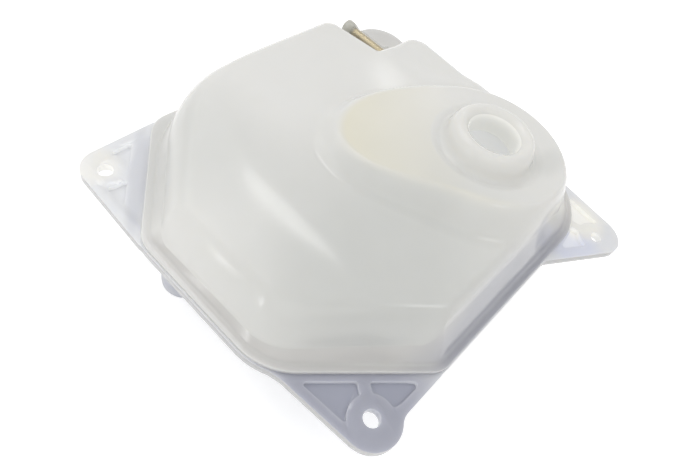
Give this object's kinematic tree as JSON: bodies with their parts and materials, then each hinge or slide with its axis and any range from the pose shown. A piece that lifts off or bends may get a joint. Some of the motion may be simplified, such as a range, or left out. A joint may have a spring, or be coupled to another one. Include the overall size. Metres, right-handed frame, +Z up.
{
  "type": "coolant expansion tank",
  "caption": "Flat welded plastic coolant expansion tank with a raised filler dome, a vent nipple, an outlet spigot and three bolting lugs.",
  "frame": {"origin": "centre of the front lug's hole, on the lugs' underside", "axes": "+X to the right along the front edge, away from the left lug; +Y to the back, towards the rear lug; +Z up out of the filler neck"},
  "size_m": [0.2468, 0.2657, 0.117],
  "materials": {
    "lower_plastic": "natural translucent, cool white",
    "upper_plastic": "natural translucent, milky, satin",
    "sleeve_brass": "drawn, bright"
  },
  "bodies": {
    "root": {"lower_shell": "lower_plastic", "upper_shell": "upper_plastic", "vent_sleeve": "sleeve_brass"}
  },
  "joints": []
}
